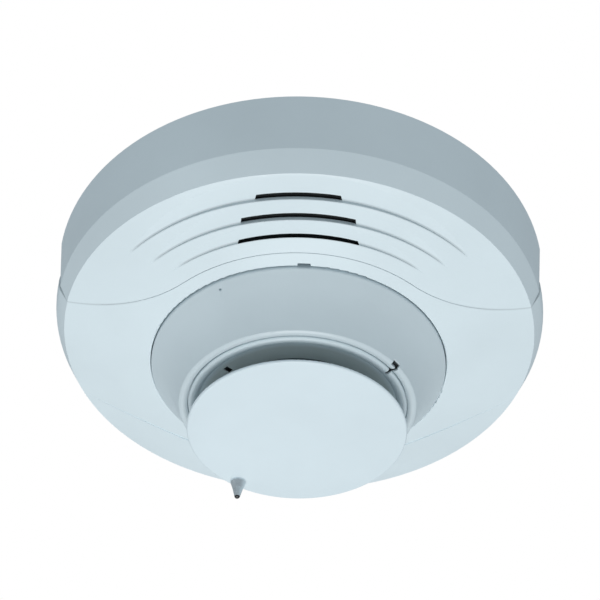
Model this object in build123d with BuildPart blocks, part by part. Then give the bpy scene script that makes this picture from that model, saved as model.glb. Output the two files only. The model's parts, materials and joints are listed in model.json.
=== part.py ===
from build123d import *
import math
import os

# Heat detector head on a round sounder base, hung from a ceiling.
# Frame: origin at the centre of the ceiling face, +Z up into the ceiling, the body hangs to -Z,
# and the sound slots are on the -Y side. Azimuths are in degrees from -Y towards +X.

os.makedirs("parts", exist_ok=True)

# Driving dimensions, in mm. Levels are heights, so they are negative below the ceiling.
GAP = 0.3                   # clearance between pieces that move past each other
WALL = 2.2                  # wall of the two base covers

RIM_R = 87.3                # slot half at the ceiling
BEND_R = 83.63              # slot half, bend from the upper to the lower wall band
BEND_Z = -21.25
EDGE_R = 80.11              # slot half, edge from the lower band to the underside
EDGE_Z = -28.48
RECESS_R = 50.15            # edge of the round recess for the head
RECESS_Z = -34.8
SLOPE = (EDGE_Z - RECESS_Z) / (EDGE_R - RECESS_R)      # rise of the underside per mm outwards

PLAIN_RIM_R = 86.0          # plain half at the ceiling, a little inside the slot half
PLAIN_WALL_R = 84.2         # where its wall starts to swell
PLAIN_WALL_Z = -14.0
PLAIN_SWELL_R = 84.35       # widest part of the swelling, a little proud of the slot half
PLAIN_SWELL_Z = -19.5
PLAIN_SHOULDER_R = 83.2
PLAIN_SHOULDER_Z = -23.0
PLAIN_EDGE_R = 80.0
PLAIN_EDGE_Z = -28.2
CREASE_R = 55.8             # ring that the far zone's straight creases touch
CREASE_TURN = 30.4          # angle from +Y where they touch it
CREASE_STEP = 0.35          # how far the far zone stands down at the ring; none at the edge

SEAM_R = 54.75              # seam round the recess
SEAM_X = 75.3               # where the seam's bends end
SEAM_Y = 27.3               # how far in front of the middle the seam crosses the wall
SEAM_GAP = 0.2

STEP_R = (72.1, 65.6, 59.85)            # inner edge of each terrace
STEP_HEIGHT = (1.2, 1.05, 0.85)
STEP_END = (46.5, 44.5, 40.5)           # azimuth where each terrace fades out
SLOT_HALF = (10.2, 15.1, 17.6)          # half angle of each sound slot
SLOT_WIDTH = (1.55, 1.65, 0.8)
SLOT_TAPER = 0.6            # how much shorter a slot's outer edge is at each end, in degrees
SLOT_LIP = (0.15, 0.3, -0.85)           # where the wall behind each slot slants back, over its foot
SLOT_BACK = 2.2             # how far back that wall slants, and how far up
SLOT_RISE = 2.6

PLATE_R = 83.2
PLATE_RIB_R = 82.0          # stiffening ring under the plate's edge
PLATE_T = 2.4
CABLE_R = 22.0
BOX_SLOT_AT = 39.7          # centre of each screw slot
BOX_SLOT_LENGTH = 14.5
BOX_SLOT_R = 2.3

WELL_R = 50.2               # socket wall, inside
WELL_OUT_R = 52.2
WELL_END_Z = -31.5
FLOOR_Z = -4.4              # socket floor, lower face
LEDGE_R = 48.1
LEDGE_TOP = -12.2
LEDGE_T = 2.0
LUG_HALF = 8.0              # half angle of a bayonet lug and of a ledge
LUG_AZIMUTHS = (30, 150, 270)
STOP_GAP = 0.6              # degrees

NOTCH_AZIMUTH = 2.0
NOTCH_WIDTH = 3.9
NOTCH_DEPTH = 1.05
LEVER_IN_R = 50.5
LEVER_T = 1.2
LEVER_WIDTH = 3.3
LEVER_TOP_Z = -14.6
LEVER_PIVOT_Z = -16.0
LEVER_END_Z = -29.5
LEVER_TAB_Z = -23.6
PIN_R = 0.6
PIN_FIT = 0.03

SOUNDER_Y = -66.6
SOUNDER_R = 13.2
SOUNDER_MOUTH_Z = -24.2
DIAPHRAGM_Z = -18.0
COIL_R = 5.6
GAUZE_T = 0.4

BOARD_TOP = -8.0
BOARD_T = 1.6
BOARD_IN_R = 54.2
BOARD_OUT_R = 79.0
BOARD_HALF = 126.0          # half angle of the C-shaped board, from the far side
POST_R = 67.0
POST_AZIMUTHS = (58, 122, 180, 238, 302)
BOSS_AT = 77.4              # screw bosses that hold the covers to the plate
BOSS_R = 2.9
BOSS_HOLE_R = 1.25
FRONT_BOSSES = (-48, 48)
REAR_BOSSES = (112, 180, 248)

HEAD_RIM_R = 49.85          # the head's rim stands a little below the edge of the recess
HEAD_RIM_TOP = -24.2
HEAD_RIM_Z = -35.4
SKIRT_END_R = 39.2
SKIRT_END_Z = -49.9
SKIRT_SAG = 0.85            # how hollow the flared skirt is
SKIRT_T = 2.0
LIP_R = 38.26
LIP_Z = -50.98
LIP_IN_R = 36.1
RING_R = 35.8
RING_CREST_R = 34.7
RING_Z = -51.0
RING_FOOT_R = 32.6
DECK_Z = -50.0              # flat floor of the air gap between the ring and the neck
DECK_T = 0.9
SHELF_TOP = -47.4
SCREEN_R = 25.5
SCREEN_T = 0.35
FRAME_IN_R = 22.4
NECK_TOP = -45.8
CAP_R = 35.3
CAP_TOP = -59.3
CAP_RIM_TOP = -59.67
CAP_EDGE_Z = -60.67
CAP_FACE_Z = -61.0
CAP_TILT = -1.3             # lean of the disc about the X axis, its far side lower
CAP_MID_Z = -60.2

PROBE_R_AT = 31.95
PROBE_AZIMUTH = -141.5
PROBE_BASE_R = 2.6
PROBE_TIP_R = 0.95
PROBE_SEAT_Z = -61.1
PROBE_TIP_Z = -67.3
TUBE_R = 1.7                # tube that brings the probe's leads through the neck
BEAD_END_Z = -68.1

CHASSIS_TOP = -8.5
CHASSIS_R = 47.3
HEAD_BOARD_Z = -29.0
HEAD_BOARD_R = 42.0
HEAD_SCREW_R_AT = 40.5
HEAD_SCREWS = (60, 180, 300)
LEFT_WINDOW_AZIMUTH = -47.5
LEFT_WINDOW_IN_R = 28.1
LEFT_WINDOW_OUT_R = 30.65
LEFT_WINDOW_HALF = 1.85
RIGHT_WINDOW_AZIMUTH = 54.0
RIGHT_WINDOW_IN_R = 33.9
RIGHT_WINDOW_HALF = 0.95
LIP_CUT_AZIMUTH = 51.9      # cut in the lip beside the right window, outside a small tab
LIP_CUT_HALF = 2.4
LIP_CUT_IN_R = 37.9
LIP_CUT_TOP = -49.6
WINDOW_FIT = 0.05


def at(radius, azimuth):
    """X and Y of a point at a radius and an azimuth from -Y."""
    turn = math.radians(azimuth)
    return (radius * math.sin(turn), -radius * math.cos(turn))


def spot(radius, azimuth, height):
    """Location there, its X axis pointing outwards."""
    x, y = at(radius, azimuth)
    return Location((x, y, height), (0, 0, azimuth - 90))


def lathe(points):
    """Turned solid from straight runs between (radius, height) points, into the current part."""
    with BuildSketch(Plane.XZ) as outline:
        with BuildLine():
            Polyline(*points, close=True)
        make_face()
    revolve(outline.sketch, axis=Axis.Z)


def ring_sector(inner, outer, azimuth, half, low, high, mode=Mode.ADD, outer_half=None):
    """Block between two radii and two azimuths, from one height to another."""
    far = half if outer_half is None else outer_half
    with BuildSketch(Plane.XY.offset(low)) as outline:
        with BuildLine():
            ThreePointArc(at(inner, azimuth - half), at(inner, azimuth), at(inner, azimuth + half))
            Line(at(inner, azimuth + half), at(outer, azimuth + far))
            ThreePointArc(at(outer, azimuth + far), at(outer, azimuth), at(outer, azimuth - far))
            Line(at(outer, azimuth - far), at(inner, azimuth - half))
        make_face()
    extrude(outline.sketch, amount=high - low, mode=mode)


def cylinder_at(location, radius, low, high, mode=Mode.ADD):
    """Upright cylinder between two heights at a location's X and Y."""
    with Locations(Location((location.position.X, location.position.Y, low))):
        Cylinder(radius, high - low, align=(Align.CENTER, Align.CENTER, Align.MIN), mode=mode)


def screw_down(location, head_r, head_t, shank_r, length, high):
    """Pan screw whose head's top is at a height and whose shank points down."""
    cylinder_at(location, head_r, high - head_t, high)
    cylinder_at(location, shank_r, high - head_t - length, high - head_t)
    cross_recess(location, head_r, high - 0.6 * head_t, high)


def screw_up(location, head_r, head_t, shank_r, length, low):
    """Pan screw whose head's underside shows at a height and whose shank points up."""
    cylinder_at(location, head_r, low, low + head_t)
    cylinder_at(location, shank_r, low + head_t, low + head_t + length)
    cross_recess(location, head_r, low, low + 0.6 * head_t)


def cross_recess(location, head_r, low, high):
    """Cross for a screwdriver, cut into a screw's head."""
    for length, width in ((1.2 * head_r, 0.3 * head_r), (0.3 * head_r, 1.2 * head_r)):
        with Locations(Location((location.position.X, location.position.Y, low))):
            Box(length, width, high - low, align=(Align.CENTER, Align.CENTER, Align.MIN),
                mode=Mode.SUBTRACT)


def seam_region(grow):
    """Sketch of the slot half in plan, grown outwards across the seam by a small amount."""
    lead = SEAM_R - SEAM_Y
    bend_y = (SEAM_X**2 - lead**2) / (2 * lead)
    bend_r = bend_y - SEAM_Y
    turn = math.atan2(SEAM_X, bend_y)
    ring = SEAM_R - grow
    bend = bend_r + grow
    wall_y = SEAM_Y - grow
    reach = 2 * RIM_R
    touch = (ring * math.sin(turn), ring * math.cos(turn))
    middle = (SEAM_X - bend * math.sin(turn / 2), bend_y - bend * math.cos(turn / 2))
    with BuildSketch() as region:
        with BuildLine():
            Line((-reach, -wall_y), (-SEAM_X, -wall_y))
            ThreePointArc((-SEAM_X, -wall_y), (-middle[0], -middle[1]), (-touch[0], -touch[1]))
            ThreePointArc((-touch[0], -touch[1]), (0, -ring), (touch[0], -touch[1]))
            ThreePointArc((touch[0], -touch[1]), (middle[0], -middle[1]), (SEAM_X, -wall_y))
            Polyline((SEAM_X, -wall_y), (reach, -wall_y), (reach, -reach), (-reach, -reach),
                     (-reach, -wall_y))
        make_face()
    return region.sketch


def underside(radius):
    """Height of the slot half's plain underside at a radius."""
    return EDGE_Z - (EDGE_R - radius) * SLOPE


def inside(radius):
    """Height of the slot half's inner face over the underside, at a radius."""
    inner_edge = EDGE_R - 1.1
    return RECESS_Z + WALL + (radius - RECESS_R) * (EDGE_Z - RECESS_Z) / (inner_edge - RECESS_R)


def plain_underside(radius):
    """Height of the plain half's underside at a radius."""
    slope = (RECESS_Z - PLAIN_EDGE_Z) / (PLAIN_EDGE_R - RECESS_R)
    return PLAIN_EDGE_Z + (PLAIN_EDGE_R - radius) * slope


def finish(piece, name):
    """Labels a finished piece and writes its STEP file."""
    piece.part.label = name
    export_step(piece.part, f"parts/{name}.step")


# ---------------------------------------------------------------- base: mounting plate

with BuildPart() as mounting_plate:
    lathe([(CABLE_R, 0), (PLATE_R, 0), (PLATE_R, -PLATE_T), (PLATE_RIB_R, -PLATE_T),
           (PLATE_RIB_R, -6), (PLATE_RIB_R - 1, -6), (PLATE_RIB_R - 1, -PLATE_T),
           (CABLE_R + 2, -PLATE_T), (CABLE_R + 2, FLOOR_Z), (CABLE_R, FLOOR_Z)])
    with BuildSketch() as box_slots:
        with Locations((BOX_SLOT_AT, 0), (-BOX_SLOT_AT, 0)):
            SlotOverall(BOX_SLOT_LENGTH, 2 * BOX_SLOT_R)
        with Locations((0, BOX_SLOT_AT), (0, -BOX_SLOT_AT)):
            SlotOverall(BOX_SLOT_LENGTH, 2 * BOX_SLOT_R, rotation=90)
    extrude(amount=-PLATE_T, mode=Mode.SUBTRACT)
    for azimuth in POST_AZIMUTHS:
        cylinder_at(spot(POST_R, azimuth, 0), 3.2, BOARD_TOP, -PLATE_T)
        cylinder_at(spot(POST_R, azimuth, 0), 1.2, BOARD_TOP, -PLATE_T - 0.4, mode=Mode.SUBTRACT)
    for azimuth in FRONT_BOSSES + REAR_BOSSES:
        with Locations(Location((*at(BOSS_AT, azimuth), 0))):
            CounterSinkHole(1.65, 3.0, PLATE_T)
finish(mounting_plate, "mounting_plate")

# ---------------------------------------------------------------- base: the two cover halves

with BuildPart() as plain_cover:
    lip_r = RECESS_R + 0.5
    fold_r = PLAIN_EDGE_R - 1.6
    fold = (fold_r, plain_underside(fold_r) + WALL)
    ledge = (SEAM_R - 1.5, RECESS_Z + 3.0)
    with BuildSketch(Plane.XZ):
        with BuildLine():
            Line((PLAIN_RIM_R - WALL, 0), (PLAIN_RIM_R, 0))
            Line((PLAIN_RIM_R, 0), (PLAIN_WALL_R, PLAIN_WALL_Z))
            ThreePointArc((PLAIN_WALL_R, PLAIN_WALL_Z), (PLAIN_SWELL_R, PLAIN_SWELL_Z),
                          (PLAIN_SHOULDER_R, PLAIN_SHOULDER_Z))
            Line((PLAIN_SHOULDER_R, PLAIN_SHOULDER_Z), (PLAIN_EDGE_R, PLAIN_EDGE_Z))
            Line((PLAIN_EDGE_R, PLAIN_EDGE_Z), (lip_r, plain_underside(lip_r)))
            ThreePointArc((lip_r, plain_underside(lip_r)), (RECESS_R + 0.13, RECESS_Z + 0.22),
                          (RECESS_R, RECESS_Z + 0.6))
            Line((RECESS_R, RECESS_Z + 0.6), (RECESS_R, ledge[1]))
            Line((RECESS_R, ledge[1]), ledge)
            Line(ledge, fold)
            Line(fold, (PLAIN_SHOULDER_R - WALL, PLAIN_SHOULDER_Z + 0.7))
            ThreePointArc((PLAIN_SHOULDER_R - WALL, PLAIN_SHOULDER_Z + 0.7),
                          (PLAIN_SWELL_R - WALL, PLAIN_SWELL_Z + 0.5),
                          (PLAIN_WALL_R - WALL, PLAIN_WALL_Z))
            Line((PLAIN_WALL_R - WALL, PLAIN_WALL_Z), (PLAIN_RIM_R - WALL, 0))
        make_face()
    revolve(axis=Axis.Z)
    extrude(seam_region(SEAM_GAP / 2), amount=-60, mode=Mode.SUBTRACT)
    for azimuth in REAR_BOSSES:
        cylinder_at(spot(BOSS_AT, azimuth, 0), BOSS_R, PLAIN_EDGE_Z + 1.3, -PLATE_T)
        cylinder_at(spot(BOSS_AT, azimuth, 0), BOSS_HOLE_R, PLAIN_EDGE_Z + 9, -PLATE_T,
                    mode=Mode.SUBTRACT)
    ring_sector(RECESS_R - 1, RECESS_R + NOTCH_DEPTH, NOTCH_AZIMUTH,
                math.degrees(NOTCH_WIDTH / 2 / RECESS_R), -40, -30, mode=Mode.SUBTRACT)

# The far zone stands down a little from the wings, behind two straight creases.
with BuildPart() as far_zone:
    lathe([(CREASE_R - 0.5, plain_underside(CREASE_R - 0.5) + 1),
           (CREASE_R - 0.5, plain_underside(CREASE_R - 0.5) - CREASE_STEP),
           (PLAIN_EDGE_R, PLAIN_EDGE_Z), (PLAIN_EDGE_R - 0.5, PLAIN_EDGE_Z + 1)])
    touch_x, touch_y = at(CREASE_R, 180 - CREASE_TURN)
    reach = RIM_R
    drop = reach * math.tan(math.radians(CREASE_TURN))
    with BuildSketch() as beyond_creases:
        with BuildLine():
            ThreePointArc((touch_x, touch_y), (0, CREASE_R), (-touch_x, touch_y))
            Polyline((-touch_x, touch_y), (-touch_x - reach, touch_y - drop),
                     (-touch_x - reach, 2 * reach), (touch_x + reach, 2 * reach),
                     (touch_x + reach, touch_y - drop), (touch_x, touch_y))
        make_face()
    extrude(beyond_creases.sketch, amount=-60, mode=Mode.INTERSECT)
with plain_cover:
    add(far_zone.part)
finish(plain_cover, "plain_cover")

with BuildPart() as grille_cover:
    lathe([(RIM_R - WALL, 0), (RIM_R, 0), (BEND_R, BEND_Z), (EDGE_R, EDGE_Z),
           (RECESS_R, RECESS_Z), (RECESS_R, inside(RECESS_R)), (EDGE_R - 1.1, inside(EDGE_R - 1.1)),
           (BEND_R - WALL, BEND_Z + 0.4)])
    extrude(seam_region(-SEAM_GAP / 2), amount=-60, mode=Mode.INTERSECT)
    for azimuth in FRONT_BOSSES:
        cylinder_at(spot(BOSS_AT, azimuth, 0), BOSS_R, EDGE_Z + 1.3, -PLATE_T)
        cylinder_at(spot(BOSS_AT, azimuth, 0), BOSS_HOLE_R, EDGE_Z + 9, -PLATE_T,
                    mode=Mode.SUBTRACT)


def terrace(radius, height, end):
    """Cutter for one terrace: a flat slab outside the riser, tipped so that its cut is deepest in
    front and fades out at the end azimuth."""
    tip = height / (radius * (1 - math.cos(math.radians(end))))
    foot = underside(radius) + height
    front = radius + 16
    with BuildPart() as cutter:
        with BuildSketch(Plane.YZ.offset(-RIM_R)):
            with BuildLine():
                Polyline((-front, foot + (front - radius) * tip), (-front, -60), (0, -60),
                         (0, foot - radius * tip), close=True)
            make_face()
        extrude(amount=2 * RIM_R)
        cylinder_at(Location((0, 0, 0)), radius, -80, 10, mode=Mode.SUBTRACT)
    return cutter.part


def louvre(radius, width, height, lip, half):
    """Cutter for one sound slot: straight through behind its riser, then slanting back inside."""
    foot = underside(radius) + height
    back = radius - SLOT_BACK
    with BuildPart() as cutter:
        lathe([(radius, foot - 4), (radius, foot + lip), (back, foot + lip + SLOT_RISE),
               (back, foot + 6), (radius + width, foot + 6), (radius + width, foot - 4)])
        ring_sector(radius - SLOT_BACK - width, radius + 2 * width, 0,
                    half + SLOT_TAPER * (SLOT_BACK + width) / width, -60, 0,
                    mode=Mode.INTERSECT, outer_half=half - 2 * SLOT_TAPER)
    return cutter.part


with grille_cover:
    for sizes in zip(STEP_R, STEP_HEIGHT, STEP_END):
        add(terrace(*sizes), mode=Mode.SUBTRACT)
    for sizes in zip(STEP_R, SLOT_WIDTH, STEP_HEIGHT, SLOT_LIP, SLOT_HALF):
        add(louvre(*sizes), mode=Mode.SUBTRACT)
finish(grille_cover, "grille_cover")

# ---------------------------------------------------------------- base: socket and its metal

with BuildPart() as socket:
    lathe([(CABLE_R + 2.2, -PLATE_T), (WELL_OUT_R, -PLATE_T), (WELL_OUT_R, WELL_END_Z),
           (WELL_R, WELL_END_Z), (WELL_R, FLOOR_Z), (CABLE_R + 2.2, FLOOR_Z)])
    for azimuth in LUG_AZIMUTHS:
        ring_sector(LEDGE_R, WELL_R + 0.5, azimuth, LUG_HALF, LEDGE_TOP - LEDGE_T, LEDGE_TOP)
        ring_sector(LEDGE_R, WELL_R + 0.5, azimuth + LUG_HALF + STOP_GAP + 1.5, 1.5,
                    LEDGE_TOP - LEDGE_T, FLOOR_Z)
    with BuildSketch(Plane.XY.offset(FLOOR_Z)):
        with Locations((BOX_SLOT_AT - 1, 0), (1 - BOX_SLOT_AT, 0)):
            SlotOverall(20, 10)
        with Locations((0, BOX_SLOT_AT - 1), (0, 1 - BOX_SLOT_AT)):
            SlotOverall(20, 10, rotation=90)
    extrude(amount=10, mode=Mode.SUBTRACT)
    ring_sector(WELL_R - 1, WELL_OUT_R + 1, NOTCH_AZIMUTH,
                math.degrees((LEVER_WIDTH / 2 + GAP) / WELL_R), WELL_END_Z - 1, LEVER_TOP_Z + 0.6,
                mode=Mode.SUBTRACT)
    with Locations(spot(LEVER_IN_R + LEVER_T / 2, NOTCH_AZIMUTH, LEVER_PIVOT_Z)):
        Cylinder(PIN_R, 8, rotation=(90, 0, 0), mode=Mode.SUBTRACT)

CONTACT_AZIMUTHS = (64, 116, 244, 296)
CONTACT_SCREW_AT = 32
with BuildPart() as socket_contacts:
    for azimuth in CONTACT_AZIMUTHS:
        ring_sector(28, 44.5, azimuth, 5.0, FLOOR_Z - 0.8, FLOOR_Z)
        ring_sector(38.5, 44.5, azimuth, 1.4, FLOOR_Z - 1.8, FLOOR_Z - 0.8)

with BuildPart() as contact_screws:
    for azimuth in CONTACT_AZIMUTHS:
        screw_up(spot(CONTACT_SCREW_AT, azimuth, 0), 2.1, 1.5, 1.1, 1.2, FLOOR_Z - 0.8 - 1.5)
finish(contact_screws, "contact_screws")
for holder, low, high in ((socket_contacts, FLOOR_Z - 0.8, FLOOR_Z), (socket, FLOOR_Z, -PLATE_T)):
    with holder:
        for azimuth in CONTACT_AZIMUTHS:
            cylinder_at(spot(CONTACT_SCREW_AT, azimuth, 0), 1.1, low, high, mode=Mode.SUBTRACT)
finish(socket_contacts, "socket_contacts")

SOCKET_SCREWS = (14, 100, 194, 255)
SOCKET_SCREW_AT = 46.3
with BuildPart() as socket_screws:
    for azimuth in SOCKET_SCREWS:
        screw_up(spot(SOCKET_SCREW_AT, azimuth, 0), 2.2, 1.4, 1.2, -PLATE_T - FLOOR_Z, FLOOR_Z - 1.4)
finish(socket_screws, "socket_screws")
with socket:
    for azimuth in SOCKET_SCREWS:
        cylinder_at(spot(SOCKET_SCREW_AT, azimuth, 0), 1.2, FLOOR_Z, -PLATE_T, mode=Mode.SUBTRACT)
finish(socket, "socket")

with BuildPart() as tamper_lever:
    with Locations(spot(LEVER_IN_R + LEVER_T / 2, NOTCH_AZIMUTH, LEVER_END_Z)):
        Box(LEVER_T, LEVER_WIDTH, LEVER_PIVOT_Z - LEVER_END_Z,
            align=(Align.CENTER, Align.CENTER, Align.MIN))
    with Locations(spot(LEVER_IN_R + LEVER_T / 2, NOTCH_AZIMUTH, LEVER_PIVOT_Z)):
        Cylinder(1.3, LEVER_WIDTH, rotation=(90, 0, 0))
        Cylinder(PIN_R + PIN_FIT, LEVER_WIDTH + 2, rotation=(90, 0, 0), mode=Mode.SUBTRACT)
    with Locations(spot(LEVER_IN_R, NOTCH_AZIMUTH, LEVER_TAB_Z)):
        Box(0.9, LEVER_WIDTH - 1, 3.0, align=(Align.MAX, Align.CENTER, Align.MIN))
finish(tamper_lever, "tamper_lever")

with BuildPart() as lever_pin:
    with Locations(spot(LEVER_IN_R + LEVER_T / 2, NOTCH_AZIMUTH, LEVER_PIVOT_Z)):
        Cylinder(PIN_R, 7.4, rotation=(90, 0, 0))
finish(lever_pin, "lever_pin")

# ---------------------------------------------------------------- base: sounder

with BuildPart() as sounder_housing:
    cylinder_at(Location((0, SOUNDER_Y, 0)), SOUNDER_R, SOUNDER_MOUTH_Z + 2.2, -PLATE_T - 0.02)
    cylinder_at(Location((0, SOUNDER_Y, 0)), SOUNDER_R - 1.2, SOUNDER_MOUTH_Z + 2.2, -4.0,
                mode=Mode.SUBTRACT)
finish(sounder_housing, "sounder_housing")

with BuildPart() as sounder_magnet:
    cylinder_at(Location((0, SOUNDER_Y, 0)), 9.0, -9.0, -4.0)
    cylinder_at(Location((0, SOUNDER_Y, 0)), 9.0, -15.0, -9.0)
    cylinder_at(Location((0, SOUNDER_Y, 0)), 6.6, -15.0, -9.0, mode=Mode.SUBTRACT)
    cylinder_at(Location((0, SOUNDER_Y, 0)), COIL_R - 0.9, -15.0, -9.0)
finish(sounder_magnet, "sounder_magnet")

with BuildPart() as sounder_diaphragm:
    lathe([(0, DIAPHRAGM_Z - 1.0), (3.2, DIAPHRAGM_Z - 0.75), (COIL_R, DIAPHRAGM_Z + 0.3),
           (COIL_R + 0.6, DIAPHRAGM_Z + 0.3), (8.6, DIAPHRAGM_Z - 1.1), (10.0, DIAPHRAGM_Z - 1.3),
           (11.4, DIAPHRAGM_Z - 0.6), (11.4, DIAPHRAGM_Z - 0.2), (10.0, DIAPHRAGM_Z - 0.9),
           (8.6, DIAPHRAGM_Z - 0.7), (COIL_R + 0.6, DIAPHRAGM_Z + 0.7), (COIL_R, DIAPHRAGM_Z + 0.7),
           (3.2, DIAPHRAGM_Z - 0.35), (0, DIAPHRAGM_Z - 0.6)])
sounder_diaphragm.part = sounder_diaphragm.part.moved(Location((0, SOUNDER_Y, 0)))
finish(sounder_diaphragm, "sounder_diaphragm")

with BuildPart() as voice_coil:
    cylinder_at(Location((0, SOUNDER_Y, 0)), COIL_R + 0.4, DIAPHRAGM_Z + 0.7, -12.5)
    cylinder_at(Location((0, SOUNDER_Y, 0)), COIL_R - 0.3, DIAPHRAGM_Z + 0.7, -12.5,
                mode=Mode.SUBTRACT)
finish(voice_coil, "voice_coil")

with BuildPart() as slot_gauze:
    lathe([(55.8, inside(55.8)), (76.4, inside(76.4)), (76.4, inside(76.4) + GAUZE_T),
           (55.8, inside(55.8) + GAUZE_T)])
    ring_sector(50, 80, 0, 20, -60, 0, mode=Mode.INTERSECT)
finish(slot_gauze, "slot_gauze")

with BuildPart() as sounder_board:
    ring_sector(BOARD_IN_R, BOARD_OUT_R, 180, BOARD_HALF, BOARD_TOP - BOARD_T, BOARD_TOP)
    for azimuth in POST_AZIMUTHS:
        cylinder_at(spot(POST_R, azimuth, 0), 1.2, BOARD_TOP - BOARD_T, BOARD_TOP, mode=Mode.SUBTRACT)
    for azimuth in REAR_BOSSES:
        cylinder_at(spot(BOSS_AT, azimuth, 0), BOSS_R + GAP, BOARD_TOP - BOARD_T, BOARD_TOP,
                    mode=Mode.SUBTRACT)
finish(sounder_board, "sounder_board")

BOARD_FACE = BOARD_TOP - BOARD_T
with BuildPart() as sounder_chips:
    for azimuth, radius, length, width in ((86, 66, 10, 7.5), (100, 62, 5, 4), (148, 68, 9, 6),
                                           (212, 64, 6, 5), (265, 66, 12, 8), (276, 72, 4, 3)):
        with Locations(spot(radius, azimuth, BOARD_FACE)):
            Box(width, length, 1.7, align=(Align.CENTER, Align.CENTER, Align.MAX))
finish(sounder_chips, "sounder_chips")

with BuildPart() as sounder_capacitors:
    for azimuth, radius, can_r, height in ((72, 66, 4.0, 9), (135, 62, 3.2, 8), (165, 66, 5.0, 10.5),
                                           (225, 66, 4.0, 9), (288, 68, 3.2, 8)):
        cylinder_at(spot(radius, azimuth, 0), can_r, BOARD_FACE - height, BOARD_FACE)
finish(sounder_capacitors, "sounder_capacitors")

TERMINAL_AZIMUTHS = (190, 194.6, 199.2, 203.8)
with BuildPart() as terminal_block:
    for azimuth in TERMINAL_AZIMUTHS:
        with Locations(spot(72, azimuth, BOARD_FACE)):
            Box(8.5, 5.4, 8.0, align=(Align.CENTER, Align.CENTER, Align.MAX))
    for azimuth in TERMINAL_AZIMUTHS:
        with Locations(spot(76.3, azimuth, BOARD_FACE - 4.6)):
            Box(5.0, 3.4, 3.0, mode=Mode.SUBTRACT)
        cylinder_at(spot(70.8, azimuth, 0), 1.7, BOARD_FACE - 8.0, BOARD_FACE - 3.2,
                    mode=Mode.SUBTRACT)
finish(terminal_block, "terminal_block")

with BuildPart() as terminal_screws:
    for azimuth in TERMINAL_AZIMUTHS:
        screw_up(spot(70.8, azimuth, 0), 1.7, 1.2, 1.0, 2.4, BOARD_FACE - 6.8)
finish(terminal_screws, "terminal_screws")

with BuildPart() as board_screws:
    for azimuth in POST_AZIMUTHS:
        screw_up(spot(POST_R, azimuth, 0), 2.4, 1.5, 1.2, 5.6, BOARD_FACE - 1.5)
finish(board_screws, "board_screws")

with BuildPart() as cover_screws:
    for azimuth in FRONT_BOSSES + REAR_BOSSES:
        place = spot(BOSS_AT, azimuth, 0)
        with Locations(place):
            Cone(1.65, 3.0, 1.35, align=(Align.CENTER, Align.CENTER, Align.MAX))
        cylinder_at(place, BOSS_HOLE_R, -12.0, -1.35)
        cross_recess(place, 2.6, -0.9, 0)
finish(cover_screws, "cover_screws")

# ---------------------------------------------------------------- head: shells

with BuildPart() as head_cover:
    chord_r = (HEAD_RIM_R + SKIRT_END_R) / 2
    chord_z = (HEAD_RIM_Z + SKIRT_END_Z) / 2
    run = math.hypot(HEAD_RIM_R - SKIRT_END_R, HEAD_RIM_Z - SKIRT_END_Z)
    lean_r = (HEAD_RIM_Z - SKIRT_END_Z) / run
    lean_z = (HEAD_RIM_R - SKIRT_END_R) / run
    hollow = (chord_r - SKIRT_SAG * lean_r, chord_z + SKIRT_SAG * lean_z)
    back = (hollow[0] - SKIRT_T * lean_r, hollow[1] + SKIRT_T * lean_z)
    shelf_r = SKIRT_END_R - SKIRT_T - 0.2
    with BuildSketch(Plane.XZ):
        with BuildLine():
            Line((HEAD_RIM_R - SKIRT_T, HEAD_RIM_TOP), (HEAD_RIM_R, HEAD_RIM_TOP))
            Line((HEAD_RIM_R, HEAD_RIM_TOP), (HEAD_RIM_R, HEAD_RIM_Z + 0.5))
            ThreePointArc((HEAD_RIM_R, HEAD_RIM_Z + 0.5), (HEAD_RIM_R - 0.1, HEAD_RIM_Z + 0.12),
                          (HEAD_RIM_R - 0.42, HEAD_RIM_Z - 0.28))
            ThreePointArc((HEAD_RIM_R - 0.42, HEAD_RIM_Z - 0.28), hollow, (SKIRT_END_R, SKIRT_END_Z))
            Line((SKIRT_END_R, SKIRT_END_Z), (LIP_R + 0.64, LIP_Z + 0.43))
            ThreePointArc((LIP_R + 0.64, LIP_Z + 0.43), (LIP_R - 0.2, LIP_Z), (LIP_IN_R, LIP_Z + 0.85))
            Line((LIP_IN_R, LIP_Z + 0.85), (LIP_IN_R, DECK_Z + DECK_T))
            Line((LIP_IN_R, DECK_Z + DECK_T), (SCREEN_R + 0.6, DECK_Z + DECK_T))
            Line((SCREEN_R + 0.6, DECK_Z + DECK_T), (SCREEN_R + 0.6, SHELF_TOP))
            Line((SCREEN_R + 0.6, SHELF_TOP), (shelf_r, SHELF_TOP))
            ThreePointArc((shelf_r, SHELF_TOP), back, (HEAD_RIM_R - SKIRT_T, HEAD_RIM_Z + 1.2))
            Line((HEAD_RIM_R - SKIRT_T, HEAD_RIM_Z + 1.2), (HEAD_RIM_R - SKIRT_T, HEAD_RIM_TOP))
        make_face()
    revolve(axis=Axis.Z)
    for azimuth in HEAD_SCREWS:
        cylinder_at(spot(HEAD_SCREW_R_AT, azimuth, 0), 2.6, -42.2, -27.6)
        cylinder_at(spot(HEAD_SCREW_R_AT, azimuth, 0), 1.2, -36.0, -27.6, mode=Mode.SUBTRACT)
    ring_sector(RIGHT_WINDOW_IN_R, LIP_R, RIGHT_WINDOW_AZIMUTH, RIGHT_WINDOW_HALF, -60,
                DECK_Z + DECK_T, mode=Mode.SUBTRACT)
    ring_sector(LIP_CUT_IN_R, LIP_R + 1.3, LIP_CUT_AZIMUTH, LIP_CUT_HALF, -60, LIP_CUT_TOP,
                mode=Mode.SUBTRACT)
    ring_sector(LEFT_WINDOW_IN_R, LEFT_WINDOW_OUT_R, LEFT_WINDOW_AZIMUTH, LEFT_WINDOW_HALF, -60,
                SHELF_TOP, mode=Mode.SUBTRACT)
    with Locations(spot(48.1, -29.6, -36.6)):
        Sphere(0.55, mode=Mode.SUBTRACT)

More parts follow.
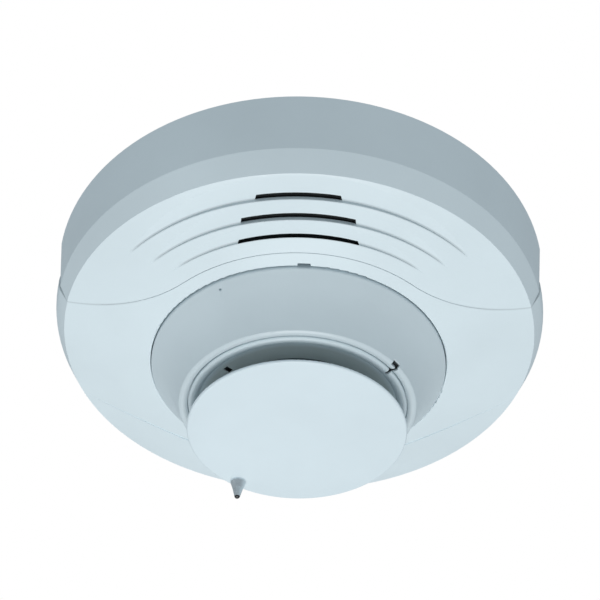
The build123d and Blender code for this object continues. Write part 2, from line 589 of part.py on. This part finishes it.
with BuildPart() as entry_ring:
    with BuildSketch(Plane.XZ):
        with BuildLine():
            Line((SCREEN_R + 0.15, DECK_Z + DECK_T), (RING_R, DECK_Z + DECK_T))
            Line((RING_R, DECK_Z + DECK_T), (RING_R, RING_Z + 0.75))
            ThreePointArc((RING_R, RING_Z + 0.75), (RING_R - 0.35, RING_Z + 0.2),
                          (RING_CREST_R, RING_Z))
            ThreePointArc((RING_CREST_R, RING_Z), (RING_CREST_R - 1.0, RING_Z + 0.25),
                          (RING_FOOT_R, DECK_Z - 0.1))
            Line((RING_FOOT_R, DECK_Z - 0.1), (SCREEN_R + 0.15, DECK_Z))
            Line((SCREEN_R + 0.15, DECK_Z), (SCREEN_R + 0.15, DECK_Z + DECK_T))
        make_face()
    revolve(axis=Axis.Z)
    ring_sector(RIGHT_WINDOW_IN_R, LIP_R, RIGHT_WINDOW_AZIMUTH, RIGHT_WINDOW_HALF, -60, -40,
                mode=Mode.SUBTRACT)
    ring_sector(LEFT_WINDOW_IN_R, LEFT_WINDOW_OUT_R, LEFT_WINDOW_AZIMUTH, LEFT_WINDOW_HALF, -60,
                -40, mode=Mode.SUBTRACT)

leaning = Location((0, 0, CAP_MID_Z), (CAP_TILT, 0, 0)) * Location((0, 0, -CAP_MID_Z))
with BuildPart() as cap_space:
    cylinder_at(Location((0, 0, 0)), CAP_R, CAP_TOP - 8, CAP_TOP)
cap_space.part = cap_space.part.moved(leaning)

with BuildPart() as insect_screen:
    lathe([(SCREEN_R - SCREEN_T, CAP_TOP - 1), (SCREEN_R, CAP_TOP - 1), (SCREEN_R, SHELF_TOP),
           (SCREEN_R - SCREEN_T, SHELF_TOP)])
    add(cap_space.part, mode=Mode.SUBTRACT)
finish(insect_screen, "insect_screen")

with BuildPart() as neck_frame:
    hoop_r = SCREEN_R - SCREEN_T
    lathe([(FRAME_IN_R, SHELF_TOP), (36.6, SHELF_TOP), (36.6, NECK_TOP), (FRAME_IN_R, NECK_TOP)])
    lathe([(FRAME_IN_R, CAP_TOP - 1), (hoop_r, CAP_TOP - 1), (hoop_r, CAP_TOP + 2),
           (FRAME_IN_R, CAP_TOP + 2)])
    for index in range(12):
        ring_sector(FRAME_IN_R + 0.6, hoop_r, 30 * index + 5, 2.6, CAP_TOP + 1, SHELF_TOP + 0.1)
    add(cap_space.part, mode=Mode.SUBTRACT)

with BuildPart() as disc_cap:
    with BuildSketch(Plane.XZ):
        with BuildLine():
            Line((0, CAP_TOP), (CAP_R - 6, CAP_TOP))
            Line((CAP_R - 6, CAP_TOP), (CAP_R - 0.3, CAP_RIM_TOP))
            ThreePointArc((CAP_R - 0.3, CAP_RIM_TOP), (CAP_R - 0.08, CAP_RIM_TOP - 0.1),
                          (CAP_R, CAP_RIM_TOP - 0.3))
            ThreePointArc((CAP_R, CAP_RIM_TOP - 0.3), (CAP_R - 0.16, CAP_EDGE_Z + 0.22),
                          (CAP_R - 0.7, CAP_EDGE_Z))
            Polyline((CAP_R - 0.7, CAP_EDGE_Z), (CAP_R - 6, CAP_FACE_Z + 0.12),
                     (CAP_R - 16, CAP_FACE_Z + 0.03), (0, CAP_FACE_Z), (0, CAP_TOP))
        make_face()
    revolve(axis=Axis.Z)
disc_cap.part = disc_cap.part.moved(leaning)
probe = spot(PROBE_R_AT, PROBE_AZIMUTH, 0)
with disc_cap:
    cylinder_at(probe, TUBE_R, -65, -50, mode=Mode.SUBTRACT)
    cylinder_at(probe, PROBE_BASE_R, -65, PROBE_SEAT_Z, mode=Mode.SUBTRACT)
finish(disc_cap, "disc_cap")

# ---------------------------------------------------------------- head: probe

probe_x, probe_y = at(PROBE_R_AT, PROBE_AZIMUTH)
with BuildPart() as probe_cone:
    lathe([(1.1, NECK_TOP), (TUBE_R, NECK_TOP), (TUBE_R, PROBE_SEAT_Z),
           (PROBE_BASE_R, PROBE_SEAT_Z), (PROBE_BASE_R, PROBE_SEAT_Z - 0.8), (1.72, -64.4),
           (PROBE_TIP_R, PROBE_TIP_Z), (0.6, PROBE_TIP_Z), (1.1, -64.0)])
probe_cone.part = probe_cone.part.moved(Location((probe_x, probe_y, 0)))
finish(probe_cone, "probe_cone")

with BuildPart() as sensor_bead:
    lathe([(0, BEAD_END_Z), (0.45, BEAD_END_Z + 0.13), (0.8, BEAD_END_Z + 0.42),
           (PROBE_TIP_R, PROBE_TIP_Z), (0.55, PROBE_TIP_Z), (0.55, PROBE_TIP_Z + 0.9),
           (0, PROBE_TIP_Z + 0.9)])
sensor_bead.part = sensor_bead.part.moved(Location((probe_x, probe_y, 0)))
finish(sensor_bead, "sensor_bead")

with BuildPart() as sensor_leads:
    for side in (-0.27, 0.27):
        with Locations((probe_x + side, probe_y, PROBE_TIP_Z + 0.9)):
            Cylinder(0.18, HEAD_BOARD_Z - 1.6 - PROBE_TIP_Z - 0.9,
                     align=(Align.CENTER, Align.CENTER, Align.MIN))
finish(sensor_leads, "sensor_leads")
for pierced, name in ((neck_frame, "neck_frame"), (head_cover, "head_cover"),
                      (entry_ring, "entry_ring")):
    with pierced:
        cylinder_at(probe, TUBE_R, -60, -44, mode=Mode.SUBTRACT)
    finish(pierced, name)

# ---------------------------------------------------------------- head: indicator windows

with BuildPart() as left_window:
    ring_sector(LEFT_WINDOW_IN_R + WINDOW_FIT, LEFT_WINDOW_OUT_R - WINDOW_FIT, LEFT_WINDOW_AZIMUTH,
                LEFT_WINDOW_HALF - 0.1, DECK_Z + 0.2, SHELF_TOP)
finish(left_window, "left_window")

with BuildPart() as right_light_guide:
    ring_sector(RIGHT_WINDOW_IN_R + WINDOW_FIT, LIP_R - WINDOW_FIT, RIGHT_WINDOW_AZIMUTH,
                RIGHT_WINDOW_HALF - 0.08, DECK_Z - 0.35, DECK_Z + DECK_T)
    ring_sector(LIP_CUT_IN_R + WINDOW_FIT, LIP_R + 0.6, LIP_CUT_AZIMUTH, LIP_CUT_HALF - 0.08,
                DECK_Z - 0.2, LIP_CUT_TOP)
finish(right_light_guide, "right_light_guide")

# ---------------------------------------------------------------- head: chassis and electronics

with BuildPart() as head_chassis:
    lathe([(14, CHASSIS_TOP), (CHASSIS_R, CHASSIS_TOP), (CHASSIS_R, HEAD_RIM_TOP + 0.2),
           (HEAD_RIM_R - SKIRT_T - 0.05, HEAD_RIM_TOP + 0.2), (HEAD_RIM_R - SKIRT_T - 0.05, -27.4),
           (CHASSIS_R - 2, -27.4), (CHASSIS_R - 2, CHASSIS_TOP - 2), (14, CHASSIS_TOP - 2)])
    for azimuth in LUG_AZIMUTHS:
        ring_sector(CHASSIS_R - 0.6, WELL_R - 0.4, azimuth, LUG_HALF, LEDGE_TOP + 0.35,
                    LEDGE_TOP + 2.3)
    for azimuth in HEAD_SCREWS:
        cylinder_at(spot(HEAD_SCREW_R_AT, azimuth, 0), 3.0, -27.55, CHASSIS_TOP - 1)
        cylinder_at(spot(HEAD_SCREW_R_AT, azimuth, 0), 1.25, -28, CHASSIS_TOP + 1, mode=Mode.SUBTRACT)
        cylinder_at(spot(HEAD_SCREW_R_AT, azimuth, 0), 2.3, CHASSIS_TOP - 1.2, CHASSIS_TOP + 1,
                    mode=Mode.SUBTRACT)
finish(head_chassis, "head_chassis")

with BuildPart() as head_screws:
    for azimuth in HEAD_SCREWS:
        screw_down(spot(HEAD_SCREW_R_AT, azimuth, 0), 2.2, 1.2, 1.2, 24.0, CHASSIS_TOP)
finish(head_screws, "head_screws")

RIVET_AT = 36.0
with BuildPart() as contact_blades:
    for azimuth in CONTACT_AZIMUTHS:
        ring_sector(33.5, 43.5, azimuth, 3.2, CHASSIS_TOP, CHASSIS_TOP + 0.8)
        ring_sector(39.2, 43.5, azimuth, 1.2, CHASSIS_TOP + 0.8, FLOOR_Z - 1.8 - GAP)
finish(contact_blades, "contact_blades")

with BuildPart() as blade_rivets:
    for azimuth in CONTACT_AZIMUTHS:
        cylinder_at(spot(RIVET_AT, azimuth, 0), 1.0, CHASSIS_TOP - 2.6, CHASSIS_TOP + 0.8)
        cylinder_at(spot(RIVET_AT, azimuth, 0), 1.7, CHASSIS_TOP + 0.8, CHASSIS_TOP + 1.4)
finish(blade_rivets, "blade_rivets")
for holder, name in ((contact_blades, "contact_blades"), (head_chassis, "head_chassis")):
    with holder:
        for azimuth in CONTACT_AZIMUTHS:
            cylinder_at(spot(RIVET_AT, azimuth, 0), 1.0, -20, CHASSIS_TOP + 0.8,
                        mode=Mode.SUBTRACT)
    finish(holder, name)

with BuildPart() as head_board:
    cylinder_at(Location((0, 0, 0)), HEAD_BOARD_R, HEAD_BOARD_Z - 1.6, HEAD_BOARD_Z)
    for azimuth in HEAD_SCREWS:
        cylinder_at(spot(HEAD_SCREW_R_AT, azimuth, 0), 3.3, HEAD_BOARD_Z - 2, HEAD_BOARD_Z + 1,
                    mode=Mode.SUBTRACT)
finish(head_board, "head_board")

HEAD_BOARD_FACE = HEAD_BOARD_Z - 1.6
with BuildPart() as head_chips:
    for x, y, length, width in ((-10, 12, 9, 9), (12, 14, 5, 4), (4, -16, 7, 5), (-20, -8, 4, 4)):
        with Locations((x, y, HEAD_BOARD_FACE)):
            Box(length, width, 1.5, align=(Align.CENTER, Align.CENTER, Align.MAX))
finish(head_chips, "head_chips")

with BuildPart() as head_capacitors:
    for x, y, can_r, height in ((18, -6, 3.2, 8), (22, 5, 2.5, 6), (-20, 20, 3.2, 8)):
        cylinder_at(Location((x, y, 0)), can_r, HEAD_BOARD_FACE - height, HEAD_BOARD_FACE)
finish(head_capacitors, "head_capacitors")

with BuildPart() as light_emitters:
    for azimuth in (LEFT_WINDOW_AZIMUTH, RIGHT_WINDOW_AZIMUTH):
        with Locations(spot(27, azimuth, HEAD_BOARD_FACE)):
            Box(2.0, 3.0, 1.4, align=(Align.CENTER, Align.CENTER, Align.MAX))
finish(light_emitters, "light_emitters")
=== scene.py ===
"""Looks of the ceiling heat detector: finishes for the CAD nodes, solder joints, light and camera."""

import json
import math

import bmesh
import bpy
from mathutils import Matrix, Vector


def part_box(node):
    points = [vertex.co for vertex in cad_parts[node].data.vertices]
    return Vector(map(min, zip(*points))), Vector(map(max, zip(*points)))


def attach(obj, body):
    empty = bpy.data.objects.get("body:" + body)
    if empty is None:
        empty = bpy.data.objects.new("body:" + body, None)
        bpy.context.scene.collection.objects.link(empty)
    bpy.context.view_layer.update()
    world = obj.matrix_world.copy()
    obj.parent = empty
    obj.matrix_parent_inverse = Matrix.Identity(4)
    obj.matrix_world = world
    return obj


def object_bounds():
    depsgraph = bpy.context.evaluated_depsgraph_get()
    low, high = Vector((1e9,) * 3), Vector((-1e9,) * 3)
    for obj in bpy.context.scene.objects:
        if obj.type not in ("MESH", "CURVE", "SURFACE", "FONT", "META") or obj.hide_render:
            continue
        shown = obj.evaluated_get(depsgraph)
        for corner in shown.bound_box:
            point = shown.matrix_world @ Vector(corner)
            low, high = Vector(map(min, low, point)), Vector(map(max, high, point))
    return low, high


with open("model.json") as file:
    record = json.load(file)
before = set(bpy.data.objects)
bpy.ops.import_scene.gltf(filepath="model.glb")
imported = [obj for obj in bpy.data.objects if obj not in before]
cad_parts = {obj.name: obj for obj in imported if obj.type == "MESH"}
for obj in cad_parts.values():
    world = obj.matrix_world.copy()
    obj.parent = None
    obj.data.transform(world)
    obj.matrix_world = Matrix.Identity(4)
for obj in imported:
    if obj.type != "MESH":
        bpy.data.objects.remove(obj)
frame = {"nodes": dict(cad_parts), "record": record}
cad_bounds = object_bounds()
nodes = frame["nodes"]
scene = bpy.context.scene

# Lengths are in metres and angles in degrees, azimuths from -Y towards +X.
WHITE = (0.76, 0.86, 0.90)
# colour of the painted shade in the corners of the terraces and in the seam
CREASE_SHADE_COLOR = tuple(part * 0.70 for part in WHITE)
STEP_LINES = ((0.07225, 45.5), (0.06575, 43.0), (0.0600, 38.0))     # radius and last azimuth of each
STEP_SHADE_HALF_WIDTH = 0.00055        # half width of the painted shade along a terrace's riser
STEP_FADE = 3.0
SEAM_RING = 0.05475         # radius of the seam's front stretch
SEAM_WALL_Y = 0.0273        # how far in front of the axis the seam crosses the wall
SEAM_BEND_X = 0.0753        # the bends' centres, placed so that they touch the ring and the run out
SEAM_LEAD = SEAM_RING - SEAM_WALL_Y
SEAM_BEND_Y = (SEAM_BEND_X ** 2 - SEAM_LEAD ** 2) / (2 * SEAM_LEAD)
SEAM_FROM = 0.044           # distance from the middle at which the painted shade in the seam starts
SEAM_FADE = 0.018
# half width of the painted shade along the seam
SEAM_SHADE_HALF_WIDTH = 0.0006
DECK_REACH = 0.0331         # edge of the painted shade on the air gap's floor under the disc
DECK_FADE = 0.0022
# colour of the painted shade on the air gap's floor under the disc
DECK_SHADE_COLOR = (0.55, 0.60, 0.58)
DRAWN = (1.0, 1.0, 24.0)    # squeezes the noise into the fine lines of worked metal
WEAVE_RADIUS = 0.032        # where the threads round the axis lie at their true pitch
WEAVE_LEAN = 0.37           # how much the cross threads lean as they run back

WELD_REACH = 0.000002
SHARP_ANGLE = 10.0          # edges sharper than this are rounded
SOFT_EDGES = {
    "plain_cover": 0.0002,
    "grille_cover": 0.0002,
    "head_cover": 0.00012,
    "entry_ring": 0.00012,
    "disc_cap": 0.0001,
}

SOLDER = (                  # profile of a joint, as (radius, height) from the board's face down
    (0.00075, 0.0),
    (0.0007, -0.00018),
    (0.00045, -0.00042),
    (0.00028, -0.0006),
    (0.00022, -0.0009),
)
SOLDER_INSET = 0.0057       # from the board's edge to the ring of joints
SOLDER_COUNT = 40
SOLDER_START = 4.5
SOLDER_SIDES = 20

FLOOR_DROP = 0.75           # the floor lies far below the hanging object
FLOOR_REACH = 6.0
SHOWN = (1.0, 1.0, 1.0)
AMBIENT = (0.388, 0.432, 0.462)
WARM = (1.0, 0.982, 0.963)
LAMPS = (                   # name, offset from the object's middle, size in m and power in W
    ("below", (0.0, -0.095, -0.7), 0.3, 2.58),
    ("below_back", (0.0, 0.5, -0.5), 0.5, 0.3),
    ("left", (-0.8, -0.2, -0.3), 0.5, 0.25),
    ("above", (0.2, -0.2, 0.9), 0.6, 1.6),
)
SENSOR = 36.0               # in mm, like the lens
LENS = 54.0
NEAREST = 0.01

# ---------------------------------------------------------------- materials

class Graph:
    """A node material with short calls for the nodes used here."""

    def __init__(self, name):
        self.material = bpy.data.materials.new(name)
        self.material.use_nodes = True
        self.tree = self.material.node_tree
        self.shader = self.tree.nodes["Principled BSDF"]
        self.place = self.add("ShaderNodeTexCoord").outputs["Object"]

    def add(self, kind, **settings):
        node = self.tree.nodes.new(kind)
        for key, value in settings.items():
            setattr(node, key, value)
        return node

    def link(self, source, target):
        self.tree.links.new(source, target)

    def value(self, socket, value):
        """Links a socket, or sets it if the value is plain."""
        if isinstance(value, bpy.types.NodeSocket):
            self.link(value, socket)
        else:
            socket.default_value = value

    def noise(self, scale, detail=2.0, rough=0.5, stretch=None):
        node = self.add("ShaderNodeTexNoise")
        node.inputs["Scale"].default_value = scale
        node.inputs["Detail"].default_value = detail
        node.inputs["Roughness"].default_value = rough
        place = self.place
        if stretch:
            mapping = self.add("ShaderNodeMapping")
            mapping.inputs["Scale"].default_value = stretch
            self.link(place, mapping.inputs["Vector"])
            place = mapping.outputs["Vector"]
        self.link(place, node.inputs["Vector"])
        return node.outputs["Fac"]

    def math(self, operation, a, b=0.0):
        node = self.add("ShaderNodeMath", operation=operation)
        for socket, value in zip(node.inputs, (a, b)):
            self.value(socket, value)
        return node.outputs[0]

    def length(self, a, b):
        """Length of a vector with two parts at right angles."""
        squares = self.math("ADD", self.math("MULTIPLY", a, a), self.math("MULTIPLY", b, b))
        return self.math("SQRT", squares)

    def spread(self, value, low, high, out_low=0.0, out_high=1.0):
        node = self.add("ShaderNodeMapRange")
        for socket, number in zip(node.inputs, (value, low, high, out_low, out_high)):
            self.value(socket, number)
        return node.outputs[0]

    def mix(self, factor, a, b):
        node = self.add("ShaderNodeMix", data_type="RGBA")
        self.value(node.inputs["Factor"], factor)
        self.value(node.inputs["A"], a)
        self.value(node.inputs["B"], b)
        return node.outputs["Result"]

    def bump(self, height, distance, strength=1.0, under=None):
        node = self.add("ShaderNodeBump")
        node.inputs["Distance"].default_value = distance
        node.inputs["Strength"].default_value = strength
        self.link(height, node.inputs["Height"])
        if under:
            self.link(under, node.inputs["Normal"])
        return node.outputs["Normal"]

    def axes(self):
        node = self.add("ShaderNodeSeparateXYZ")
        self.link(self.place, node.inputs[0])
        return node.outputs

    def set(self, **sockets):
        """Sets or links shader sockets by name, with _ for each space."""
        for name, value in sockets.items():
            self.value(self.shader.inputs[name.replace("_", " ")], value)


def rgba(color):
    return (*color, 1.0)


def near_line(g, distance, width):
    """1 on a line, falling to 0 at a width from it."""
    return g.spread(g.math("ABSOLUTE", distance), 0.0, width, 1.0, 0.0)


def corner_painted_shade(g):
    """Painted shade in the corners of the three terraces and along the outer ends of the seam, each a
    bend about a centre in front of the object and then a straight run out across the wall."""
    x, y, _ = g.axes()
    away = g.length(x, y)
    facing = g.math("DIVIDE", g.math("MULTIPLY", y, -1.0), away)
    aside = g.math("ABSOLUTE", x)
    across = g.math("MINIMUM", g.math("SUBTRACT", aside, SEAM_BEND_X), 0.0)
    ahead = g.math("ADD", y, SEAM_BEND_Y)
    off_seam = g.math("SUBTRACT", g.length(across, ahead), SEAM_BEND_Y - SEAM_WALL_Y)
    total = g.math("MULTIPLY", near_line(g, off_seam, SEAM_SHADE_HALF_WIDTH),
                   g.spread(aside, SEAM_FROM, SEAM_FROM + SEAM_FADE))
    for radius, end in STEP_LINES:
        edge = g.spread(facing, math.cos(math.radians(end)), math.cos(math.radians(end - STEP_FADE)))
        line = near_line(g, g.math("SUBTRACT", away, radius), STEP_SHADE_HALF_WIDTH)
        total = g.math("MAXIMUM", total, g.math("MULTIPLY", line, edge))
    return total


def moulded(name, color, rough, grain=0.00001, mottle=0.04, deck_shade=None, crease_shade=None):
    """Injection moulded plastic: fine spark-eroded grain, slow colour drift and handling marks.
    Deck shade is (radius, fade, color) of painted shade on the floor of an air path about the axis,
    under the disc, and crease shade is (how it lies, color) of painted shade in corners."""
    g = Graph(name)
    drift = g.noise(28.0, 3.0)
    cloud = g.noise(160.0, 4.0, 0.6)
    fine = g.noise(2600.0, 2.0)
    dark = tuple(c * (1 - mottle) for c in color)
    light = tuple(min(1.0, c * (1 + mottle * 0.5)) for c in color)
    tone = g.mix(g.spread(drift, 0.3, 0.7), rgba(dark), rgba(light))
    tone = g.mix(g.spread(fine, 0.35, 0.75, 0.0, 0.25), tone, rgba(dark))
    marks = g.spread(cloud, 0.35, 0.75, rough - 0.05, rough + 0.05)
    # Painted shade along the terraces' risers and the seam.
    if crease_shade:
        lies, shade_color = crease_shade
        tone = g.mix(lies(g), tone, rgba(shade_color))
    # Painted shade on the floor of the air path under the disc, a little mottled by noise.
    if deck_shade:
        reach, fade, shade_color = deck_shade
        x, y, _ = g.axes()
        near = g.spread(g.length(x, y), reach - fade, reach, 1.0, 0.0)
        shade_amount = g.math("MULTIPLY", near, g.spread(cloud, 0.2, 0.8, 0.85, 1.0))
        tone = g.mix(shade_amount, tone, rgba(shade_color))
    g.set(Base_Color=tone, Roughness=marks, IOR=1.49)
    g.set(Normal=g.bump(fine, grain, 0.6, g.bump(g.noise(420.0, 2.0), grain * 2, 0.35)))
    return g.material


def metal(name, color, rough):
    """Worked metal with fine drawn lines and dull patches."""
    g = Graph(name)
    lines = g.noise(1500.0, 3.0, 0.6, DRAWN)
    patches = g.noise(120.0, 3.0)
    worn = tuple(c * 0.78 for c in color)
    tone = g.mix(g.spread(patches, 0.35, 0.7), rgba(color), rgba(worn))
    g.set(Base_Color=tone, Metallic=1.0,
          Roughness=g.spread(lines, 0.3, 0.7, rough - 0.08, rough + 0.12))
    g.set(Normal=g.bump(lines, 0.00001, 0.5))
    return g.material


def woven(name, color, pitch, rough=0.9, open_color=(0.0, 0.0, 0.0)):
    """Woven cloth or wire mesh: two crossed sets of threads with dark gaps."""
    g = Graph(name)
    x, y, z = g.axes()
    around = g.math("MULTIPLY", g.math("ARCTAN2", x, y), WEAVE_RADIUS)
    run = math.tau / pitch
    first = g.math("SINE", g.math("MULTIPLY", around, run))
    along = g.math("ADD", z, g.math("MULTIPLY", y, WEAVE_LEAN))
    second = g.math("SINE", g.math("MULTIPLY", along, run))
    weave = g.math("MAXIMUM", g.math("ABSOLUTE", first), g.math("ABSOLUTE", second))
    thread = g.spread(weave, 0.55, 0.9)
    dust = g.spread(g.noise(240.0, 3.0), 0.4, 0.8, 0.0, 0.35)
    worn = tuple(min(1.0, c * 1.25 + 0.004) for c in color)
    tone = g.mix(thread, rgba(open_color), g.mix(dust, rgba(color), rgba(worn)))
    g.set(Base_Color=tone, Roughness=g.spread(dust, 0.0, 0.35, rough - 0.06, rough), IOR=1.45)
    g.set(Normal=g.bump(thread, 0.00005, 0.6))
    return g.material


def circuit_board(name, color):
    """Lacquered board: tracks in a fine grid under a green mask."""
    g = Graph(name)
    cells = g.add("ShaderNodeTexBrick")
    cells.inputs["Scale"].default_value = 260.0
    cells.inputs["Mortar Size"].default_value = 0.03
    g.link(g.place, cells.inputs["Vector"])
    track = cells.outputs["Fac"]
    light = tuple(min(1.0, c * 1.9 + 0.01) for c in color)
    tone = g.mix(track, rgba(color), rgba(light))
    dark = tuple(c * 0.7 for c in color)
    tone = g.mix(g.spread(g.noise(90.0, 3.0), 0.4, 0.8, 0.0, 0.4), tone, rgba(dark))
    g.set(Base_Color=tone, Roughness=g.spread(g.noise(300.0), 0.3, 0.7, 0.22, 0.38))
    g.set(Normal=g.bump(track, 0.00004, 0.5))
    return g.material


finishes = {
    "white_plastic": moulded("white_moulded", WHITE, 0.42),
    "black_plastic": moulded("black_moulded", (0.012, 0.012, 0.014), 0.5, mottle=0.2),
    "dark_plastic": moulded("dark_moulded", (0.03, 0.04, 0.042), 0.55, mottle=0.2),
    "green_plastic": moulded("terminal_green", (0.02, 0.19, 0.06), 0.38, mottle=0.15),
    "chip": moulded("chip_moulded", (0.012, 0.012, 0.013), 0.45, mottle=0.3),
    "capacitor": metal("capacitor_sleeve", (0.10, 0.12, 0.20), 0.35),
    "board": circuit_board("board_mask", (0.006, 0.09, 0.03)),
    "steel": metal("zinc_plate", (0.62, 0.64, 0.66), 0.3),
    "spring_metal": metal("spring_brass", (0.72, 0.55, 0.27), 0.28),
    "copper_wire": metal("enamelled_copper", (0.62, 0.24, 0.10), 0.3),
    "cone_film": moulded("cone_film_amber", (0.20, 0.13, 0.05), 0.3, mottle=0.2),
    "black_cloth": woven("acoustic_cloth", (0.010, 0.012, 0.013), 0.0005),
    "dark_screen": woven("insect_mesh", (0.13, 0.165, 0.175), 0.0006, 0.75, (0.06, 0.08, 0.085)),
    "black_window": moulded("smoked_window", (0.003, 0.003, 0.003), 0.15, 0.000002, mottle=0.3),
    "probe_metal": metal("probe_satin", (0.70, 0.75, 0.78), 0.24),
    "sensor_epoxy": moulded("sensor_resin", (0.02, 0.02, 0.022), 0.3, mottle=0.4),
}

# The covers carry painted shade in the corners of their terraces and along the seam.
covers = moulded("cover_crease_shaded", WHITE, 0.42, crease_shade=(corner_painted_shade, CREASE_SHADE_COLOR))
slots = {entry["node"]: entry["material_slot"] for entry in frame["record"]["subparts"]}
# These nodes share the white slot, but each carries painted shade: the covers in their creases, the
# entry ring on its deck under the disc, and the disc and the head as darker copies of the white.
special = {
    "plain_cover": covers,
    "grille_cover": covers,
    # Painted shade on the air gap's floor, where the disc shades it.
    "entry_ring": moulded("entry_deck_shaded", WHITE, 0.45, deck_shade=(DECK_REACH, DECK_FADE, DECK_SHADE_COLOR)),
    # Darker copies of the white plastic: painted shade that tones down how brightly the lamps light
    # the disc and the head's skirt.
    "disc_cap": moulded("disc_shaded_white", (0.70, 0.80, 0.845), 0.45),
    "head_cover": moulded("head_shaded_white", (0.63, 0.722, 0.762), 0.42),
}
for name, node in nodes.items():
    node.data.materials.clear()
    node.data.materials.append(special.get(name, finishes[slots[name]]))


# ---------------------------------------------------------------- softened edges on the moulded nodes

def soften(node, width):
    """Joins the node's split edges, rounds its sharp ones a little and keeps its large faces even."""
    weld = node.modifiers.new("weld", "WELD")
    weld.merge_threshold = WELD_REACH
    bevel = node.modifiers.new("edge_radius", "BEVEL")
    bevel.width = width
    bevel.segments = 3
    bevel.limit_method = "ANGLE"
    bevel.angle_limit = math.radians(SHARP_ANGLE)
    bevel.use_clamp_overlap = True
    bevel.harden_normals = False
    even = node.modifiers.new("even_normals", "WEIGHTED_NORMAL")
    even.keep_sharp = True


for name, width in SOFT_EDGES.items():
    soften(nodes[name], width)


# ---------------------------------------------------------------- small details

def turned(name, profile, places, sides):
    """One mesh of equal turned bits, each a (radius, height) profile spun about Z at a place."""
    build = bmesh.new()
    for place in places:
        rings = []
        for radius, height in profile:
            ring = []
            for step in range(sides):
                angle = math.tau * step / sides
                offset = Vector((radius * math.cos(angle), radius * math.sin(angle), height))
                ring.append(build.verts.new(Vector(place) + offset))
            rings.append(ring)
        for lower, upper in zip(rings, rings[1:]):
            for step in range(sides):
                after = (step + 1) % sides
                build.faces.new((lower[step], lower[after], upper[after], upper[step]))
        build.faces.new(rings[0])
        build.faces.new(rings[-1])
    bmesh.ops.recalc_face_normals(build, faces=build.faces)
    for face in build.faces:
        face.smooth = len(face.verts) == 4
    mesh = bpy.data.meshes.new(name)
    build.to_mesh(mesh)
    build.free()
    piece = bpy.data.objects.new(name, mesh)
    scene.collection.objects.link(piece)
    return piece


def dress(piece, body, slot):
    """Gives a new piece its finish and lets it move with a body."""
    piece.data.materials.append(finishes[slot])
    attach(piece, body)


def circle(radius, height, count, start):
    """Evenly spaced places on a circle about the object's axis."""
    turns = (math.radians(start) + math.tau * index / count for index in range(count))
    return [(radius * math.sin(turn), -radius * math.cos(turn), height) for turn in turns]


board_low, board_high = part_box("head_board")
solder_ring = (board_high.x - board_low.x) / 2 - SOLDER_INSET
joints = circle(solder_ring, board_low.z, SOLDER_COUNT, SOLDER_START)
head_solder = turned("head_solder", SOLDER, joints, SOLDER_SIDES)
dress(head_solder, "head", "steel")


# ---------------------------------------------------------------- floor, light and camera

def area_light(name, place, aim, size, power, color):
    data = bpy.data.lights.new(name, "AREA")
    data.shape = "DISK"
    data.size = size
    data.energy = power
    data.color = color
    lamp = bpy.data.objects.new(name, data)
    scene.collection.objects.link(lamp)
    lamp.location = place
    lamp.rotation_euler = (Vector(aim) - Vector(place)).to_track_quat("-Z", "Y").to_euler()


def make_floor(height, reach):
    mesh = bpy.data.meshes.new("floor")
    build = bmesh.new()
    bmesh.ops.create_grid(build, x_segments=8, y_segments=8, size=reach)
    build.to_mesh(mesh)
    build.free()
    floor = bpy.data.objects.new("floor", mesh)
    floor.location.z = height
    scene.collection.objects.link(floor)
    g = Graph("floor_paint")
    patches = g.spread(g.noise(3.0, 3.0), 0.3, 0.7)
    tone = g.mix(patches, rgba((0.80, 0.81, 0.82)), rgba((0.84, 0.85, 0.86)))
    g.set(Base_Color=tone, Roughness=0.7)
    mesh.materials.append(g.material)


def make_world(shown, ambient):
    """A white surround that lights the object less than it shows."""
    world = bpy.data.worlds.new("surround")
    scene.world = world
    world.use_nodes = True
    tree = world.node_tree
    background = tree.nodes["Background"]
    background.inputs["Color"].default_value = rgba(ambient)
    background.inputs["Strength"].default_value = 1.0
    seen = tree.nodes.new("ShaderNodeBackground")
    seen.inputs["Color"].default_value = rgba(shown)
    path = tree.nodes.new("ShaderNodeLightPath")
    mix = tree.nodes.new("ShaderNodeMixShader")
    tree.links.new(path.outputs["Is Camera Ray"], mix.inputs[0])
    tree.links.new(background.outputs[0], mix.inputs[1])
    tree.links.new(seen.outputs[0], mix.inputs[2])
    tree.links.new(mix.outputs[0], tree.nodes["World Output"].inputs[0])


low, high = (Vector(corner) for corner in cad_bounds)
middle = (low + high) / 2
make_floor(low.z - FLOOR_DROP, FLOOR_REACH)
make_world(SHOWN, AMBIENT)
for name, offset, size, power in LAMPS:
    area_light(name, middle + Vector(offset), middle, size, power, WARM)


def make_camera(azimuth, distance, drop, pitch, roll):
    """Camera under and in front of the object, azimuth from -Y towards +X, looking up at it."""
    data = bpy.data.cameras.new("camera")
    data.sensor_width = SENSOR
    data.lens = LENS
    data.clip_start = NEAREST
    camera = bpy.data.objects.new("camera", data)
    scene.collection.objects.link(camera)
    turn, tilt, lean = math.radians(azimuth), math.radians(pitch), math.radians(roll)
    right = Vector((math.cos(turn), math.sin(turn), 0.0))
    level = Vector((-math.sin(turn), math.cos(turn), 0.0))
    look = level * math.cos(tilt) + Vector((0.0, 0.0, 1.0)) * math.sin(tilt)
    up = right.cross(look)
    side = right * math.cos(lean) + up * math.sin(lean)
    top = up * math.cos(lean) - right * math.sin(lean)
    pose = Matrix((side, top, -look)).transposed().to_4x4()
    pose.translation = level * -distance + Vector((0.0, 0.0, -drop))
    camera.matrix_world = pose
    scene.camera = camera


make_camera(azimuth=0.9, distance=0.2345, drop=0.2340, pitch=45.08, roll=1.36)
scene.view_settings.view_transform = "Standard"
